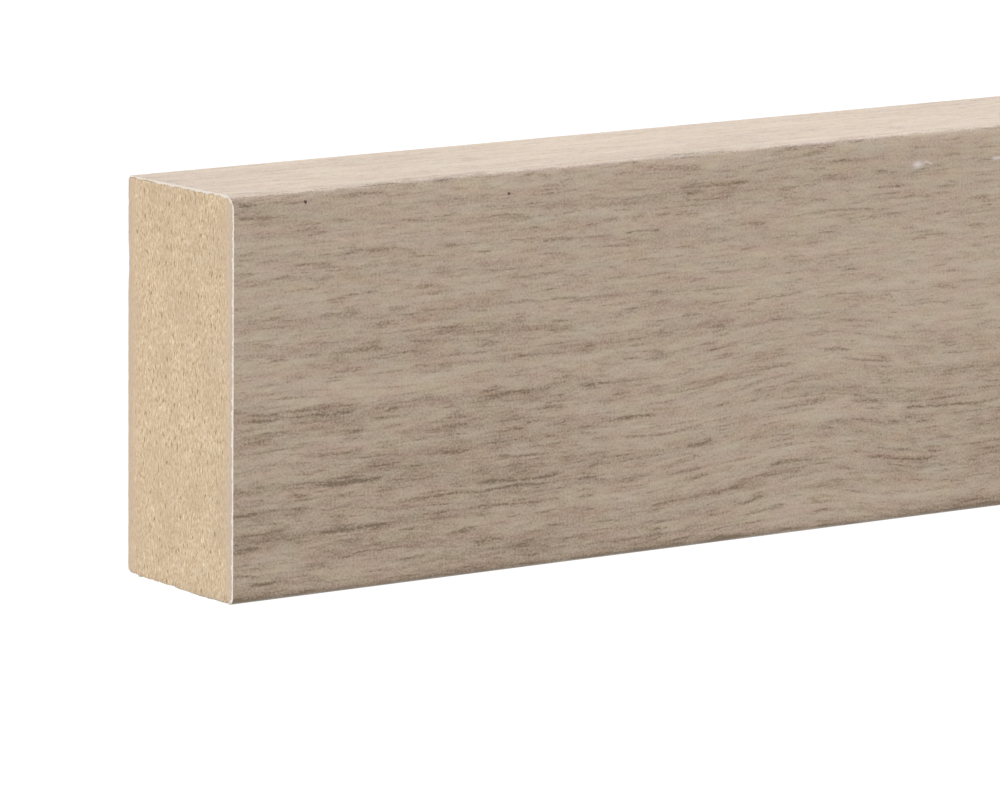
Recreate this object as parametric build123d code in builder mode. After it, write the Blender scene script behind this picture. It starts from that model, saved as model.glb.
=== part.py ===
from build123d import *
import os

# Decorative batten: a straight length of MDF strip with a printed decor foil
# wrapped over its front and both narrow edges. The back is bare MDF.
# The batten lies on its back: +X along the length, +Y across the width,
# +Z out of the decor face, with the origin at the middle of the back.

# Driving dimensions, mm. Width and thickness are measured over the foil,
# and the two radii are those of the foil's outside.
batten_length = 2700.0
batten_width = 40.0
batten_thickness = 18.0
foil_thickness = 0.2
foil_setback = 0.2
upper_arris_radius = 1.5
lower_arris_radius = 0.7

# The strip under the foil
core_width = batten_width - 2 * foil_thickness
core_thickness = batten_thickness - foil_thickness
core_upper_radius = upper_arris_radius - foil_thickness
core_lower_radius = lower_arris_radius - foil_thickness


def eased_section(width, low, high, upper_radius, lower_radius):
    """Rectangle from height low to height high, with its two front corners rounded.

    Across the section X is the batten's width and Y is its thickness.
    """
    with BuildSketch() as section:
        with Locations((0, low)):
            Rectangle(width, high - low, align=(Align.CENTER, Align.MIN))
        front_corners = section.vertices().group_by(Axis.Y)[-1].sort_by(Axis.X)
        fillet(front_corners[-1], upper_radius)
        front_corners = section.vertices().group_by(Axis.Y)[-1].sort_by(Axis.X)
        fillet(front_corners[0], lower_radius)
    return section.sketch


core_section = eased_section(
    core_width, 0, core_thickness, core_upper_radius, core_lower_radius
)
wrapped_section = eased_section(
    batten_width, foil_setback, batten_thickness, upper_arris_radius, lower_arris_radius
)

os.makedirs("parts", exist_ok=True)

# MDF strip: square corners at the bare back, rounded corners at the front
with BuildPart() as mdf_core:
    with BuildSketch(Plane.YZ):
        add(core_section)
    extrude(amount=batten_length / 2, both=True)

mdf_core.part.label = "mdf_core"
export_step(mdf_core.part, "parts/mdf_core.step")

# Decor foil: one even skin over the front and the narrow edges, trimmed just short of the back
with BuildPart() as decor_foil:
    with BuildSketch(Plane.YZ):
        add(wrapped_section)
        add(core_section, mode=Mode.SUBTRACT)
    extrude(amount=batten_length / 2, both=True)

decor_foil.part.label = "decor_foil"
export_step(decor_foil.part, "parts/decor_foil.step")
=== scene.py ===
"""A decorative batten: a straight length of fibre board strip wrapped in a printed wood decor foil.

Two pieces are made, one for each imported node. The fibre board core has its two sawn ends and its bare back.
The foil has its printed face, the cut edges at both ends and a plain backing. Shapes are worked out in
millimetres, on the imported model's own axes, and turned into metres where a mesh is written. In the names,
along is X, across is Y and up is Z. The near end is the sawn end at the lowest X, and the depth of a place
on the print is its distance below the upper edge, which is the edge at the highest Y.
"""

import logging
import math
from dataclasses import dataclass, field
from enum import Enum
from typing import NamedTuple

import bpy
import numpy as np
from mathutils import Matrix, Vector


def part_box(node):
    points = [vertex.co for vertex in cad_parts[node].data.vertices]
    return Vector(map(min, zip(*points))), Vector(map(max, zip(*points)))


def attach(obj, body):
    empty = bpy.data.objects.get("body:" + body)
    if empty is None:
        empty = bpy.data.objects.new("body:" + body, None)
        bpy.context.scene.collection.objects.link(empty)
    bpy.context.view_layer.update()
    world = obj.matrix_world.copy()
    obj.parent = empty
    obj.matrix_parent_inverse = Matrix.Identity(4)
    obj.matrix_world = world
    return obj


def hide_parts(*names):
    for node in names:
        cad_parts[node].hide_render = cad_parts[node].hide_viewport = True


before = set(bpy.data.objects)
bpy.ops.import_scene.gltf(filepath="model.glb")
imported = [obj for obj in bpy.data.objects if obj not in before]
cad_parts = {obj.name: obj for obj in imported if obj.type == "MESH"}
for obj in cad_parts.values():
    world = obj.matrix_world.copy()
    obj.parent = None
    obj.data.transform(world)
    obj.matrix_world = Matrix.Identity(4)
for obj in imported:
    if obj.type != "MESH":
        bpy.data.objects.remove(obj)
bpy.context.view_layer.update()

Array = np.ndarray
Socket = bpy.types.NodeSocket
Feed = Socket | float | tuple[float, ...]
Stops = list[tuple[float, tuple[float, ...]]]
Pair = tuple[float, float]
Run = tuple[float, float, float, float]

MM = 0.001
QUARTER = math.pi / 2
MARKED_LENGTH = 100.0
BODY = "root"
WRAP_MAP = "Wrap"
BAKE_MAP = "OFBake"
SHARP_FROM_DEG = 50.0
log = logging.getLogger("batten")


class Ink(Enum):
    """How dark a dash of the print is, as a share of its darkest ink."""

    FAINT = 0.5
    PLAIN = 0.75
    DARK = 0.95


class Tone(NamedTuple):
    """A colour as the eye reads it, 0 to 255 a channel."""

    red: float
    green: float
    blue: float

    @property
    def linear(self) -> tuple[float, float, float, float]:
        """The same colour as linear light, by the sRGB curve.

        Returns:
            Red, green and blue, and full cover.
        """
        shares = np.array(self) / 255
        light = np.where(shares <= 0.04045, shares / 12.92, ((shares + 0.055) / 1.055) ** 2.4)
        return (*light.tolist(), 1.0)


class Unevenness:
    """Smooth seeded unevenness: random heights from -1 to 1 on a lattice, joined by S-curves."""

    def __init__(self, seed: int) -> None:
        """Starts the random draws at a seed."""
        self.dice = np.random.default_rng(seed)

    def over(self, first: Array, second: Array, pitch: Pair) -> Array:
        """Height at each point of a surface.

        The four lattice heights round a point are blended by 3t^2 - 2t^3 of its place in the cell, first
        one way and then the other.

        Args:
            first: the points' first coordinate.
            second: their second coordinate, of the same shape.
            pitch: the lattice's step along each of the two.

        Returns:
            Heights from -1 to 1, one for each point.
        """
        cells = [(values - values.min()) / step for values, step in zip((first, second), pitch)]
        heights = self.dice.uniform(-1, 1, [int(values.max()) + 2 for values in cells])
        (row, row_share), (column, column_share) = (self._split(values) for values in cells)
        left = heights[row, column] * (1 - row_share) + heights[row + 1, column] * row_share
        right = heights[row, column + 1] * (1 - row_share) + heights[row + 1, column + 1] * row_share
        return left * (1 - column_share) + right * column_share

    def along(self, place: Array, pitch: float) -> Array:
        """Height from -1 to 1 at each place on a line, for lattice points a pitch apart."""
        return self.over(place, np.zeros_like(place), (pitch, 1.0))

    def layers(self, place: Array, layers: tuple[Pair, ...]) -> Array:
        """The sum of layers of unevenness on a line, drawn in order, each with its size and its pitch."""
        return sum(size * self.along(place, pitch) for size, pitch in layers)

    @staticmethod
    def _split(cells: Array) -> tuple[Array, Array]:
        """Splits places, counted in cells, into whole cells and what is left.

        Args:
            cells: the places.

        Returns:
            The cell that each place is in, and its S-curved share of the way through it.
        """
        whole = np.floor(cells).astype(int)
        share = cells - whole
        return whole, share * share * (3 - 2 * share)


@dataclass(frozen=True)
class Section:
    """Outline of a section that is open at the back, in millimetres.

    It runs up the lower edge, round the lower arris, over the face, round the upper arris and down the
    upper edge. A place on it is its girth, the distance run from the start.
    """

    half_width: float
    foot: float
    crown: float
    lower_radius: float
    upper_radius: float

    @property
    def lower_turn(self) -> float:
        """Girth where the lower arris starts to turn."""
        return self.crown - self.foot - self.lower_radius

    @property
    def face_start(self) -> float:
        """Girth where the flat face starts."""
        return self.lower_turn + self.lower_radius * QUARTER

    @property
    def face_end(self) -> float:
        """Girth where the flat face ends and the upper arris starts to turn."""
        return self.face_start + 2 * self.half_width - self.lower_radius - self.upper_radius

    @property
    def upper_turned(self) -> float:
        """Girth where the upper arris has turned."""
        return self.face_end + self.upper_radius * QUARTER

    @property
    def whole(self) -> float:
        """The girth of the whole outline."""
        return self.upper_turned + self.crown - self.foot - self.upper_radius

    @property
    def middle(self) -> float:
        """Girth at the middle of the face."""
        return self.face_start + self.half_width - self.lower_radius

    def trace(self, girth: Array) -> tuple[Array, Array, Array, Array]:
        """Places on the outline.

        Each arris turns by its arc's length over its radius, from 0 to a quarter turn. Across, from the
        lower side, is the run over the flat face, plus the lower radius times one less the cosine of its
        turn, plus the upper radius times the sine of its turn. Up, from the foot, is the run up the lower
        edge less that down the upper one, plus the lower radius times the sine of its turn, less the upper
        radius times one less the cosine of its turn.

        Args:
            girth: distances from the outline's start.

        Returns:
            Across and up, then the across and up shares of the outward normal.
        """
        low = np.clip((girth - self.lower_turn) / self.lower_radius, 0.0, QUARTER)
        high = np.clip((girth - self.face_end) / self.upper_radius, 0.0, QUARTER)
        face = np.clip(girth, self.face_start, self.face_end) - self.face_start
        arcs_across = self.lower_radius * (1 - np.cos(low)) + self.upper_radius * np.sin(high)
        arcs_up = self.lower_radius * np.sin(low) - self.upper_radius * (1 - np.cos(high))
        edges = np.minimum(girth, self.lower_turn) - np.maximum(girth - self.upper_turned, 0.0)
        turn = low + high - QUARTER
        return face + arcs_across - self.half_width, self.foot + edges + arcs_up, np.sin(turn), np.cos(turn)


@dataclass(frozen=True)
class Chart:
    """A rectangle of a bake map, in shares of the map."""

    left: float
    bottom: float
    width: float
    height: float

    def place(self, sideways: Array, upwards: Array) -> Array:
        """Map places for shares of the way across and up the rectangle, kept inside it."""
        sideways, upwards = np.broadcast_arrays(np.clip(sideways, 0, 1), np.clip(upwards, 0, 1))
        return np.stack([self.left + self.width * sideways, self.bottom + self.height * upwards], -1)

    def strip(self, number: int, count: int, gap: float) -> "Chart":
        """One of several equal strips that the rectangle is cut into, from the bottom up, a gap apart."""
        height = (self.height - gap * (count - 1)) / count
        return Chart(self.left, self.bottom + number * (height + gap), self.width, height)


@dataclass(frozen=True)
class Wear:
    """How one end departs from a plain square cut, for each node of its grid, in millimetres.

    The inset is how far in along the batten a node lies, and the shift is how far it moves across and up.
    Each fades in a straight line with the distance from the end, over its reach.
    """

    inset: Array
    shift: Array
    inset_reach: float
    shift_reach: Array

    def at(self, distance: float) -> Array:
        """What is left of the wear inside the batten.

        Args:
            distance: how far from the end.

        Returns:
            How far each node moves along, across and up.
        """
        inset = self.inset * max(0.0, 1 - distance / self.inset_reach)
        shift = self.shift * (1 - distance / self.shift_reach).clip(0)[..., None]
        return np.concatenate([inset[..., None], shift], -1)


def stations_along(length: float, steps: tuple[float, ...], borders: tuple[float, ...]) -> Array:
    """Where a stick's loops stand from the near end on: the ends, each step from either, and the borders."""
    return np.unique([0.0, *steps, *borders, *(length - np.array(steps)), length])


@dataclass
class Stick:
    """A closed stick in millimetres: two end grids of like rows and columns, their borders joined by rings.

    The columns' direction crossed with the rows' points out of the near end. The border runs along the first
    row, up the last column, back along the last row and home down the first column.
    """

    near: Array
    rings: Array
    far: Array
    stations: Array
    sides: dict[str, slice] = field(init=False)
    finishes: dict[str, Array] = field(init=False)
    maps: dict[str, dict[str, Array]] = field(init=False, default_factory=dict)

    def __post_init__(self) -> None:
        """Names the four sides of the border, and gives each face the first finish."""
        rows, columns = self.near.shape[:2]
        stops = np.cumsum([0, columns - 1, rows - 1, columns - 1, rows - 1])
        names = ("first_row", "last_column", "last_row", "first_column")
        self.sides = {name: slice(a, b) for name, a, b in zip(names, stops[:-1], stops[1:])}
        self.finishes = {part: np.zeros(shape, np.int32) for part, shape in self._shapes().items()}

    @classmethod
    def between(cls, section: Array, near_x: float, stations: Array, near: Wear, far: Wear) -> "Stick":
        """Carries a section straight along the batten, and wears its ends.

        Args:
            section: each node's place across and up, for rows and columns of nodes.
            near_x: where the near end is.
            stations: where the loops stand, from the near end on.
            near: the near end's wear.
            far: the far end's.

        Returns:
            The closed stick.
        """
        def slab(station: float) -> Array:
            """The section's nodes at a station, moved by what is left there of each end's wear."""
            plane = np.concatenate([np.full((*section.shape[:2], 1), near_x + station), section], -1)
            return plane + near.at(station) + far.at(stations[-1] - station) * (-1, 1, 1)

        rings = np.stack([cls.border(slab(station)) for station in stations[1:-1]])
        return cls(slab(stations[0]), rings, slab(stations[-1]), stations)

    def wall(self) -> Array:
        """The loops of the wall from end to end, each closed on its start."""
        loops = np.concatenate([self.border(self.near)[None], self.rings, self.border(self.far)[None]])
        return np.concatenate([loops, loops[:, :1]], 1)

    def zone(self, start: float, stop: float) -> tuple[slice, Array]:
        """Finds the part of the wall between two stations.

        Args:
            start: the station that it starts at.
            stop: the one that it stops at.

        Returns:
            The rows of its faces, and its loops' shares of the way from start to stop, as a column.
        """
        first, last = np.searchsorted(self.stations, (start - 1e-6, stop - 1e-6))
        places = self.stations[first:last + 1]
        return slice(first, last), ((places - places[0]) / (places[-1] - places[0]))[:, None]

    def _shapes(self) -> dict[str, tuple[int, int]]:
        """Counts the faces of each part.

        Returns:
            The rows and columns of faces, by the part's name.
        """
        rows, columns = self.near.shape[:2]
        wall = (len(self.rings) + 1, 2 * (rows + columns) - 4)
        return {"near": (rows - 1, columns - 1), "wall": wall, "far": (rows - 1, columns - 1)}

    @staticmethod
    def border(grid: Array) -> Array:
        """The border of a grid as one loop that doesn't repeat its start."""
        return np.concatenate([grid[0, :-1], grid[:-1, -1], grid[-1, :0:-1], grid[:0:-1, 0]])

    @staticmethod
    def corners(nodes: Array, part: str) -> Array:
        """The four corners of each face between a grid's nodes, in the order that turns the face out."""
        a, b, c, d = nodes[:-1, :-1], nodes[:-1, 1:], nodes[1:, 1:], nodes[1:, :-1]
        return np.stack([a, b, c, d] if part == "near" else [a, d, c, b], 2)

    def lay(self, layer: str, part: str, rings: slice, span: slice, places: Array) -> None:
        """Gives some faces their places on a map.

        Args:
            layer: the map's name.
            part: near, wall or far.
            rings: the rows of faces.
            span: the columns of faces.
            places: one place a node, for one more row and one more column than the faces.
        """
        if layer not in self.maps:
            self.maps[layer] = {name: np.zeros((*shape, 4, 2)) for name, shape in self._shapes().items()}
        self.maps[layer][part][rings, span] = self.corners(places, part)

    def write(self, name: str, materials: list[bpy.types.Material]) -> bpy.types.Object:
        """Puts the stick into a mesh, in metres, and the mesh into the scene.

        Args:
            name: the name of the object and its mesh.
            materials: the finishes, in the order of the faces' finish numbers.

        Returns:
            The new object, at the origin.
        """
        end_size = self.near[..., 0].size
        near_ids = np.arange(end_size).reshape(self.near.shape[:2])
        far_ids = near_ids + end_size
        ring_ids = np.arange(self.rings[..., 0].size).reshape(self.rings.shape[:2]) + 2 * end_size
        loops = np.concatenate([self.border(near_ids)[None], ring_ids, self.border(far_ids)[None]])
        nodes = {"near": near_ids, "wall": np.concatenate([loops, loops[:, :1]], 1), "far": far_ids}
        quads = np.concatenate([self.corners(ids, part).reshape(-1, 4) for part, ids in nodes.items()])
        points = np.concatenate([part.reshape(-1, 3) for part in (self.near, self.far, self.rings)]) * MM
        mesh = bpy.data.meshes.new(name)
        mesh.vertices.add(len(points))
        mesh.vertices.foreach_set("co", points.astype(np.float32).ravel())
        mesh.loops.add(quads.size)
        mesh.loops.foreach_set("vertex_index", quads.ravel().astype(np.int32))
        mesh.polygons.add(len(quads))
        mesh.polygons.foreach_set("loop_start", np.arange(0, quads.size, 4, dtype=np.int32))
        for material in materials:
            mesh.materials.append(material)
        finishes = np.concatenate([self.finishes[part].ravel() for part in nodes])
        mesh.polygons.foreach_set("material_index", finishes)
        mesh.update(calc_edges=True)
        for layer, parts in self.maps.items():
            places = np.concatenate([parts[part].reshape(-1, 2) for part in nodes])
            mesh.uv_layers.new(name=layer).data.foreach_set("uv", places.astype(np.float32).ravel())
        mesh.polygons.foreach_set("use_smooth", np.ones(len(quads), bool))
        mesh.set_sharp_from_angle(angle=math.radians(SHARP_FROM_DEG))
        piece = bpy.data.objects.new(name, mesh)
        bpy.context.scene.collection.objects.link(piece)
        return piece


@dataclass(frozen=True)
class Cloud:
    """A kind of cloudy noise, in millimetres.

    The cell is the size of a cloud along each axis: two for a flat pattern and three for a solid one. The
    layers are how many finer patterns it has, the roughness is how strong each is beside the last, and the
    twist is how far it is wrung. The seed is a shift in clouds, for another pattern of the same kind.
    """

    cell: tuple[float, ...]
    layers: float = 2.0
    roughness: float = 0.5
    twist: float = 0.0
    seed: float = 0.0


@dataclass(frozen=True)
class Spots:
    """Spots where a cloudy noise is high: low up to where they start, and high from where they are full."""

    cloud: Cloud
    start: float
    full: float
    low: float = 0.0
    high: float = 1.0


class Board:
    """A node tree whose methods add nodes and give back the socket that they put out."""

    def __init__(self, tree: bpy.types.NodeTree) -> None:
        """Takes a tree over and empties it."""
        self.tree = tree
        tree.nodes.clear()

    def node(self, kind: str, feeds: dict[str | int, Feed], **settings: object) -> bpy.types.Node:
        """Adds a node.

        Args:
            kind: Blender's name for the node, without its ShaderNode prefix.
            feeds: what goes in, by the input's name or number: a socket to link or a value to set.
            settings: the node's own settings.

        Returns:
            The node.
        """
        made = self.tree.nodes.new(f"ShaderNode{kind}")
        for name, value in settings.items():
            setattr(made, name, value)
        for name, value in feeds.items():
            if isinstance(value, Socket):
                self.tree.links.new(value, made.inputs[name])
            else:
                made.inputs[name].default_value = value
        return made

    def calc(self, operation: str, *values: Feed) -> Socket:
        """One step of arithmetic on one to three values."""
        return self.node("Math", dict(enumerate(values)), operation=operation).outputs[0]

    def total(self, first: Feed, *others: tuple[Feed, Feed]) -> Socket:
        """Adds weighted values up.

        Args:
            first: the value to start from.
            others: the other values, each with its weight.

        Returns:
            The first value plus each other value times its weight.
        """
        for value, weight in others:
            first = self.calc("MULTIPLY_ADD", value, weight, first)
        return first

    def product(self, first: Feed, second: Feed) -> Socket:
        """One value times another."""
        return self.calc("MULTIPLY", first, second)

    def span(self, value: Feed, start: float, stop: float, low: float = 0.0, high: float = 1.0) -> Socket:
        """An S-curve from low, for a value at start or before it, to high, for one at stop or past it."""
        feeds = {"Value": value, "From Min": start, "From Max": stop, "To Min": low, "To Max": high}
        return self.node("MapRange", feeds, interpolation_type="SMOOTHSTEP").outputs[0]

    def hump(self, value: Feed, centre: Feed, reach: float) -> Socket:
        """A smooth hump, 1 where the value is at the centre and 0 from its reach on, either way."""
        return self.span(self.calc("ABSOLUTE", self.calc("SUBTRACT", value, centre)), reach, 0.0)

    def plateau(self, value: Feed, start: float, full: float, fading: float, end: float) -> Socket:
        """A smooth plateau, 1 from full to fading, and 0 up to its start and from its end on."""
        return self.product(self.span(value, start, full), self.span(value, end, fading))

    def join(self, *parts: Feed) -> Socket:
        """A vector of up to three parts."""
        return self.node("CombineXYZ", dict(enumerate(parts))).outputs[0]

    def split(self, vector: Socket) -> list[Socket]:
        """The three parts of a vector."""
        return list(self.node("SeparateXYZ", {0: vector}).outputs)

    def scaled(self, vector: Socket, factors: tuple[float, ...],
               shift: tuple[float, ...] = (0.0,) * 3) -> Socket:
        """A vector with each part times its factor, plus its shift."""
        feeds = {0: vector, 1: factors, 2: shift}
        return self.node("VectorMath", feeds, operation="MULTIPLY_ADD").outputs[0]

    def noise(self, place: Socket, cloud: Cloud) -> Socket:
        """Cloudy noise, brought from its own 0 to 1 to lie about 0.

        Args:
            place: the place in millimetres.
            cloud: the kind of noise.

        Returns:
            The noise's value, mostly between -0.3 and 0.3.
        """
        flat = len(cloud.cell) == 2
        factors = tuple(1 / size for size in cloud.cell) + (0.0,) * flat
        shift = (cloud.seed, cloud.seed, 0.0 if flat else cloud.seed)
        feeds = {"Vector": self.scaled(place, factors, shift), "Scale": 1.0, "Detail": cloud.layers,
                 "Roughness": cloud.roughness, "Distortion": cloud.twist}
        made = self.node("TexNoise", feeds, noise_dimensions="2D" if flat else "3D")
        return self.calc("SUBTRACT", made.outputs["Fac"], 0.5)

    def spots(self, place: Socket, kind: Spots) -> Socket:
        """Spots at a place in millimetres: an S-curve over their noise, from low to high."""
        return self.span(self.noise(place, kind.cloud), kind.start, kind.full, kind.low, kind.high)

    def ramp(self, value: Socket, stops: Stops, output: str = "Color") -> Socket:
        """Blends between stops, each a place from 0 to 1 and a linear colour.

        Args:
            value: the place to read, from 0 to 1.
            stops: the stops, in order.
            output: Color for the blended colour, or Alpha for its cover alone.

        Returns:
            The colour, or its cover.
        """
        made = self.node("ValToRGB", {0: value})
        elements = made.color_ramp.elements
        while len(elements) < len(stops):
            elements.new(1.0)
        for element, (place, colour) in zip(elements, stops):
            element.position = place
            element.color = colour
        return made.outputs[output]

    def mix(self, share: Feed, base: Feed, other: Feed) -> Socket:
        """Two colours mixed, with the other's share from 0 to 1."""
        return self.node("Mix", {0: share, 6: base, 7: other}, data_type="RGBA").outputs[2]

    def shaded(self, colour: Feed, light: Feed) -> Socket:
        """A colour with each channel times a value, or times that channel of another colour."""
        return self.node("VectorMath", {0: colour, 1: light}, operation="MULTIPLY").outputs[0]

    def relief(self, height: Socket, depth: float) -> Socket:
        """A normal for a relief, in which a height of 1 stands the depth proud, in millimetres."""
        return self.node("Bump", {"Height": height, "Strength": 1.0, "Distance": depth * MM}).outputs[0]

    def place_in_batten(self) -> Socket:
        """The place on the batten's own axes, in millimetres."""
        return self.scaled(self.node("TexCoord", {}).outputs["Object"], (1 / MM,) * 3)

    def place_on_foil(self) -> Socket:
        """The place on the foil's flat map, in millimetres."""
        return self.scaled(self.node("UVMap", {}, uv_map=WRAP_MAP).outputs[0], (1 / MM,) * 3)

    def surface(self, colour: Feed, roughness: Feed, normal: Socket, specular: float) -> None:
        """Ends the tree in a plain opaque surface.

        Args:
            colour: its base colour.
            roughness: its roughness.
            normal: the normal of its relief.
            specular: how strongly it mirrors, where 0.5 is usual.
        """
        feeds = {"Base Color": colour, "Roughness": roughness, "Normal": normal}
        shader = self.node("BsdfPrincipled", feeds | {"Specular IOR Level": specular})
        self.node("OutputMaterial", {"Surface": shader.outputs[0]})


def new_material(name: str) -> tuple[bpy.types.Material, Board]:
    """Makes a new material.

    Args:
        name: the material's name.

    Returns:
        The material, and the empty board for its nodes.
    """
    material = bpy.data.materials.new(name)
    material.use_nodes = True
    return material, Board(material.node_tree)


@dataclass(frozen=True)
class FibreLook:
    """The look of fibre board, for its sawn and sanded faces: short fibres that lie flat in the board."""

    fine: Cloud = Cloud((0.38, 0.38, 0.15), roughness=0.65, twist=0.2)
    strokes: Cloud = Cloud((0.85, 0.85, 0.18), layers=1.0, seed=7.3)
    mottle: Cloud = Cloud((6.0, 6.0, 3.0), seed=2.1)
    fleck: Pair = (0.12, 0.26)

    def group(self) -> bpy.types.NodeTree:
        """The group that the fibre board's materials share.

        Returns:
            A group that takes a place in millimetres. It puts out the fibres' tone about 0, which is above 0
            for a pale fibre and below for a dark gap, a mottle about 0 of soft patches, and the relief.
        """
        tree = bpy.data.node_groups.new("fibre_look", "ShaderNodeTree")
        tree.interface.new_socket("Place", in_out="INPUT", socket_type="NodeSocketVector")
        for name in ("Tone", "Mottle", "Relief"):
            tree.interface.new_socket(name, in_out="OUTPUT", socket_type="NodeSocketFloat")
        board = Board(tree)
        place = tree.nodes.new("NodeGroupInput").outputs["Place"]
        fine, strokes = board.noise(place, self.fine), board.noise(place, self.strokes)
        starts, full = self.fleck
        pale, dark = board.span(strokes, starts, full), board.span(strokes, -starts, -full)
        ends = tree.nodes.new("NodeGroupOutput").inputs
        tree.links.new(board.total(fine, (pale, 0.36), (dark, -0.65)), ends["Tone"])
        tree.links.new(board.noise(place, self.mottle), ends["Mottle"])
        tree.links.new(board.total(fine, (strokes, 1.0)), ends["Relief"])
        return tree


@dataclass(frozen=True)
class Dash:
    """One dash of darker ink: where it starts and ends along the batten, in millimetres, and its ink."""

    start: float
    end: float
    ink: Ink = Ink.PLAIN


@dataclass(frozen=True)
class InkLine:
    """Dashes that lie on one grain line of the print, at one depth in millimetres."""

    depth: float
    dashes: tuple[Dash, ...]

    def stops(self, blur: float) -> Stops:
        """Stops of a ramp over the marked length, which gives the dashes' ink as its cover.

        Args:
            blur: how far the ink fades over each end of a dash, in millimetres.

        Returns:
            The stops, in order.
        """
        bare = (0.0,) * 4
        stops = [(0.0, bare)]
        for dash in self.dashes:
            fade = min(blur / 2, (dash.end - dash.start) / 2)
            level = (dash.ink.value,) * 4
            places = (dash.start - blur / 2, dash.start + fade, dash.end - fade, dash.end + blur / 2)
            shown = (bare, level, level, bare)
            stops += [(max(place, 0.0) / MARKED_LENGTH, ink) for place, ink in zip(places, shown)]
        return stops


@dataclass(frozen=True)
class InkDashes:
    """The clearest dashes of the print, near the sawn end."""

    blur: float = 1.6
    reach: float = 0.38
    crispness: float = 1.5
    ends: Cloud = Cloud((1.2, 0.15), seed=6.1)
    ends_reach: float = 2.0
    drift: Cloud = Cloud((7.0, 1.2))
    drift_reach: float = 0.8
    rough: Cloud = Cloud((0.6, 0.3), seed=1.3)
    rough_reach: float = 0.22
    breaks: Spots = Spots(Cloud((0.5, 0.22), seed=4.4), -0.24, 0.06, low=0.3)

    def lines(self) -> tuple[InkLine, ...]:
        """Names the dashes one by one.

        Returns:
            Their grain lines, from the upper edge down.
        """
        faint, dark = Ink.FAINT, Ink.DARK
        return (
            InkLine(0.35, (Dash(47.2, 49.8), Dash(54.2, 57.3))),
            InkLine(0.9, (Dash(0, 3, dark), Dash(13.2, 18.6), Dash(36.8, 38.3))),
            InkLine(1.3, (Dash(25.8, 27.9), Dash(52.5, 57.3))),
            InkLine(2.2, (Dash(0, 5.4), Dash(36.7, 39.8), Dash(73, 78.8), Dash(84, 85.6))),
            InkLine(3.35, (Dash(56.7, 63.2),)),
            InkLine(5.2, (Dash(79.6, 84, dark),)),
            InkLine(5.9, (Dash(44.2, 47), Dash(47.8, 50), Dash(51, 53.3), Dash(71, 74))),
            InkLine(6.5, (Dash(12.5, 14.6), Dash(15.6, 19.6), Dash(81, 87))),
            InkLine(7.3, (Dash(9.8, 11.9), Dash(37, 41.5), Dash(47.1, 52, dark), Dash(71.6, 80))),
            InkLine(8.1, (Dash(80.4, 83.8),)),
            InkLine(9.0, (Dash(9.2, 11.5),)),
            InkLine(10.7, (Dash(12.9, 17.7),)),
            InkLine(12.5, (Dash(1.8, 3.1), Dash(10.2, 15), Dash(18.5, 20.8))),
            InkLine(13.4, (Dash(37.5, 47.5), Dash(75.8, 77.7, dark))),
            InkLine(14.9, (Dash(23.3, 27.7), Dash(47.3, 53.6))),
            InkLine(15.6, (Dash(65.4, 70.4),)),
            InkLine(16.3, (Dash(8.5, 10.2), Dash(11.9, 18), Dash(72.7, 78))),
            InkLine(18.7, (Dash(10, 13.3), Dash(21.9, 46.3, faint), Dash(48.5, 50))),
            InkLine(20.2, (Dash(50.8, 54.2),)),
            InkLine(21.6, (Dash(1.7, 5.7), Dash(6.9, 14.4))),
            InkLine(22.2, (Dash(1.7, 5.7, dark), Dash(6.9, 14.4, dark), Dash(16.5, 17.9), Dash(29, 38.8),
                           Dash(42.3, 46, dark))),
            InkLine(22.8, (Dash(72.3, 76.7, dark),)),
            InkLine(23.65, (Dash(64.6, 69.2), Dash(75.8, 82))),
            InkLine(24.2, (Dash(0.8, 4.6), Dash(12.9, 15.8), Dash(36, 40.2), Dash(51.7, 65))),
            InkLine(24.9, (Dash(25, 27.7),)),
            InkLine(26.1, (Dash(8.3, 15.6), Dash(46.9, 51.5, dark))),
            InkLine(28.1, (Dash(47.3, 57.7), Dash(66.9, 73.3), Dash(76.7, 81.4))),
            InkLine(28.6, (Dash(31.7, 42), Dash(84, 96.7, dark))),
            InkLine(29.1, (Dash(10, 18, dark),)),
            InkLine(29.9, (Dash(6.5, 9), Dash(55.6, 59.2, dark), Dash(82, 83.8, dark))),
            InkLine(31.0, (Dash(29.6, 39.8, dark),)),
            InkLine(31.6, (Dash(19.4, 29.6), Dash(29.9, 39.8), Dash(41.5, 44.6, dark))),
            InkLine(33.3, (Dash(27.7, 40), Dash(55.6, 58.8))),
            InkLine(33.8, (Dash(10.4, 19, dark), Dash(66.9, 76), Dash(79, 88.3, dark))),
            InkLine(34.6, (Dash(0, 3.1),)),
            InkLine(35.35, (Dash(26, 29.6), Dash(51.3, 63))),
            InkLine(37.2, (Dash(8.3, 11.9),)),
            InkLine(38.2, (Dash(1.7, 5.4, dark), Dash(63.3, 68.3))),
        )

    def mask(self, board: Board, along: Socket, grain: Socket) -> Socket:
        """How dark the dashes are at a place, from 0 to 1, with ragged edges and broken ink.

        Each grain line's ink is read along the batten and faded by the distance from the line, and the
        darkest of them counts. Noise moves the dashes' ends and sides, and thins their ink in spots.

        Args:
            board: the material's board.
            along: the place along the batten.
            grain: the depth of the grain line through the place.

        Returns:
            The dashes' ink.
        """
        place = board.join(along, grain)
        uneven_ends = board.total(along, (board.noise(place, self.ends), self.ends_reach))
        share = board.product(uneven_ends, 1 / MARKED_LENGTH)
        drift, rough = board.noise(place, self.drift), board.noise(place, self.rough)
        ragged = board.total(grain, (drift, self.drift_reach), (rough, self.rough_reach))
        darkest: Feed = 0.0
        for line in self.lines():
            ink = board.ramp(share, line.stops(self.blur), "Alpha")
            here = board.product(board.hump(ragged, line.depth, self.reach), ink)
            darkest = board.calc("MAXIMUM", here, darkest)
        crisp = board.calc("POWER", darkest, self.crispness)
        return board.product(crisp, board.spots(place, self.breaks))


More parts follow.
